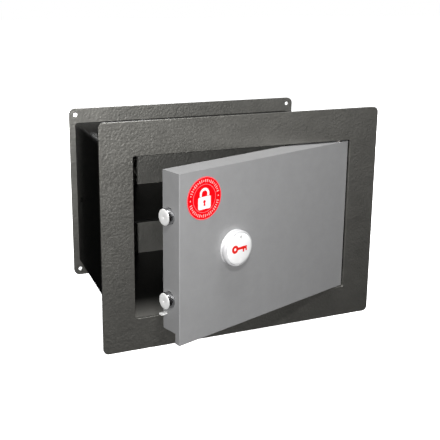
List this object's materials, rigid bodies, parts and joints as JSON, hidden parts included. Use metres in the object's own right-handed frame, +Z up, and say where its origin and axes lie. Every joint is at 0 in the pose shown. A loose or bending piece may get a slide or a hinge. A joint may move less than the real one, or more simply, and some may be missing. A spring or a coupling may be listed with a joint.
{
  "type": "recessed wall safe",
  "caption": "Recessed key-operated wall safe: trim frame, steel body on a bolt-through rear flange, shelf, and a thick door on hidden pivots with round locking bolts.",
  "frame": {"origin": "centre of the four anchor holes, on the rear face of the rear flange plate", "axes": "+X to the right seen from the front, +Y out of the safe's back into the wall behind it, +Z up; the door faces -Y"},
  "size_m": [0.39, 0.3287, 0.3],
  "materials": {
    "dark_hammered_paint": "hammered semi-matt paint",
    "black_satin_paint": "satin paint",
    "grey_textured_paint": "fine textured semi-matt paint",
    "chromed_steel": "polished",
    "zinc_steel": "zinc plated",
    "bare_steel": "oiled",
    "bush_brass": "turned",
    "ring_metal": "polished",
    "white_enamel": "glossy",
    "red_label": "printed vinyl"
  },
  "bodies": {
    "safe_body": {"front_frame": "dark_hammered_paint", "body_shell": "black_satin_paint", "rear_flange_plate": "dark_hammered_paint", "shelf": "black_satin_paint", "shelf_angle_left": "black_satin_paint", "shelf_angle_right": "black_satin_paint", "shelf_rivets": "black_satin_paint", "upper_hinge_boss": "black_satin_paint", "lower_hinge_boss": "black_satin_paint", "upper_hinge_pin": "bare_steel", "lower_hinge_pin": "bare_steel", "hinge_washer": "bare_steel"},
    "door": {"door_front_plate": "grey_textured_paint", "door_tray": "grey_textured_paint", "door_back_cover": "grey_textured_paint", "cover_posts": "zinc_steel", "cover_screws": "zinc_steel", "upper_hinge_block": "grey_textured_paint", "lower_hinge_block": "grey_textured_paint", "upper_hinge_bush": "bush_brass", "lower_hinge_bush": "bush_brass", "hard_plate": "bare_steel", "lock_case": "zinc_steel", "lock_case_cover": "zinc_steel", "lock_case_screws": "zinc_steel", "barrel_bush": "bush_brass", "rack_guide": "bare_steel", "upper_bolt_guide": "zinc_steel", "lower_bolt_guide": "zinc_steel", "escutcheon_ring": "ring_metal", "escutcheon_screws": "zinc_steel", "cover_rivet": "white_enamel", "warning_sticker": "red_label"},
    "bolt_work": {"upper_bolt": "chromed_steel", "lower_bolt": "chromed_steel", "bolt_carriage": "zinc_steel", "bolt_nuts": "zinc_steel", "rack_bar": "bare_steel", "carriage_tongue": "zinc_steel"},
    "key_cylinder": {"key_barrel": "bush_brass", "drive_pinion": "bare_steel", "barrel_circlip": "bare_steel"},
    "keyhole_cover": {"keyhole_cover": "white_enamel"}
  },
  "joints": [
    {"name": "door_swing", "type": "hinge", "parent": "safe_body", "child": "door", "pos_m": [0.1398, -0.228, 0], "axis": [0, 0, 1], "range_deg": [-19.2, 88]},
    {"name": "bolt_throw", "type": "slide", "parent": "door", "child": "bolt_work", "axis": [-0.9444, -0.3289, 0], "range_m": [-0.0075, 0.014]},
    {"name": "key_turn", "type": "hinge", "parent": "door", "child": "key_cylinder", "pos_m": [-0.04503, -0.30084, -0.0008], "axis": [0.3289, -0.9444, 0], "range_deg": [-38.5, 71.6]},
    {"name": "cover_swivel", "type": "hinge", "parent": "door", "child": "keyhole_cover", "pos_m": [-0.04174, -0.31028, 0.0156], "axis": [0.3289, -0.9444, 0], "range_deg": [0, 100]}
  ],
  "couplings": [
    {"joint": "key_turn", "follows": "bolt_throw", "rad_per_m": 88.889}
  ]
}
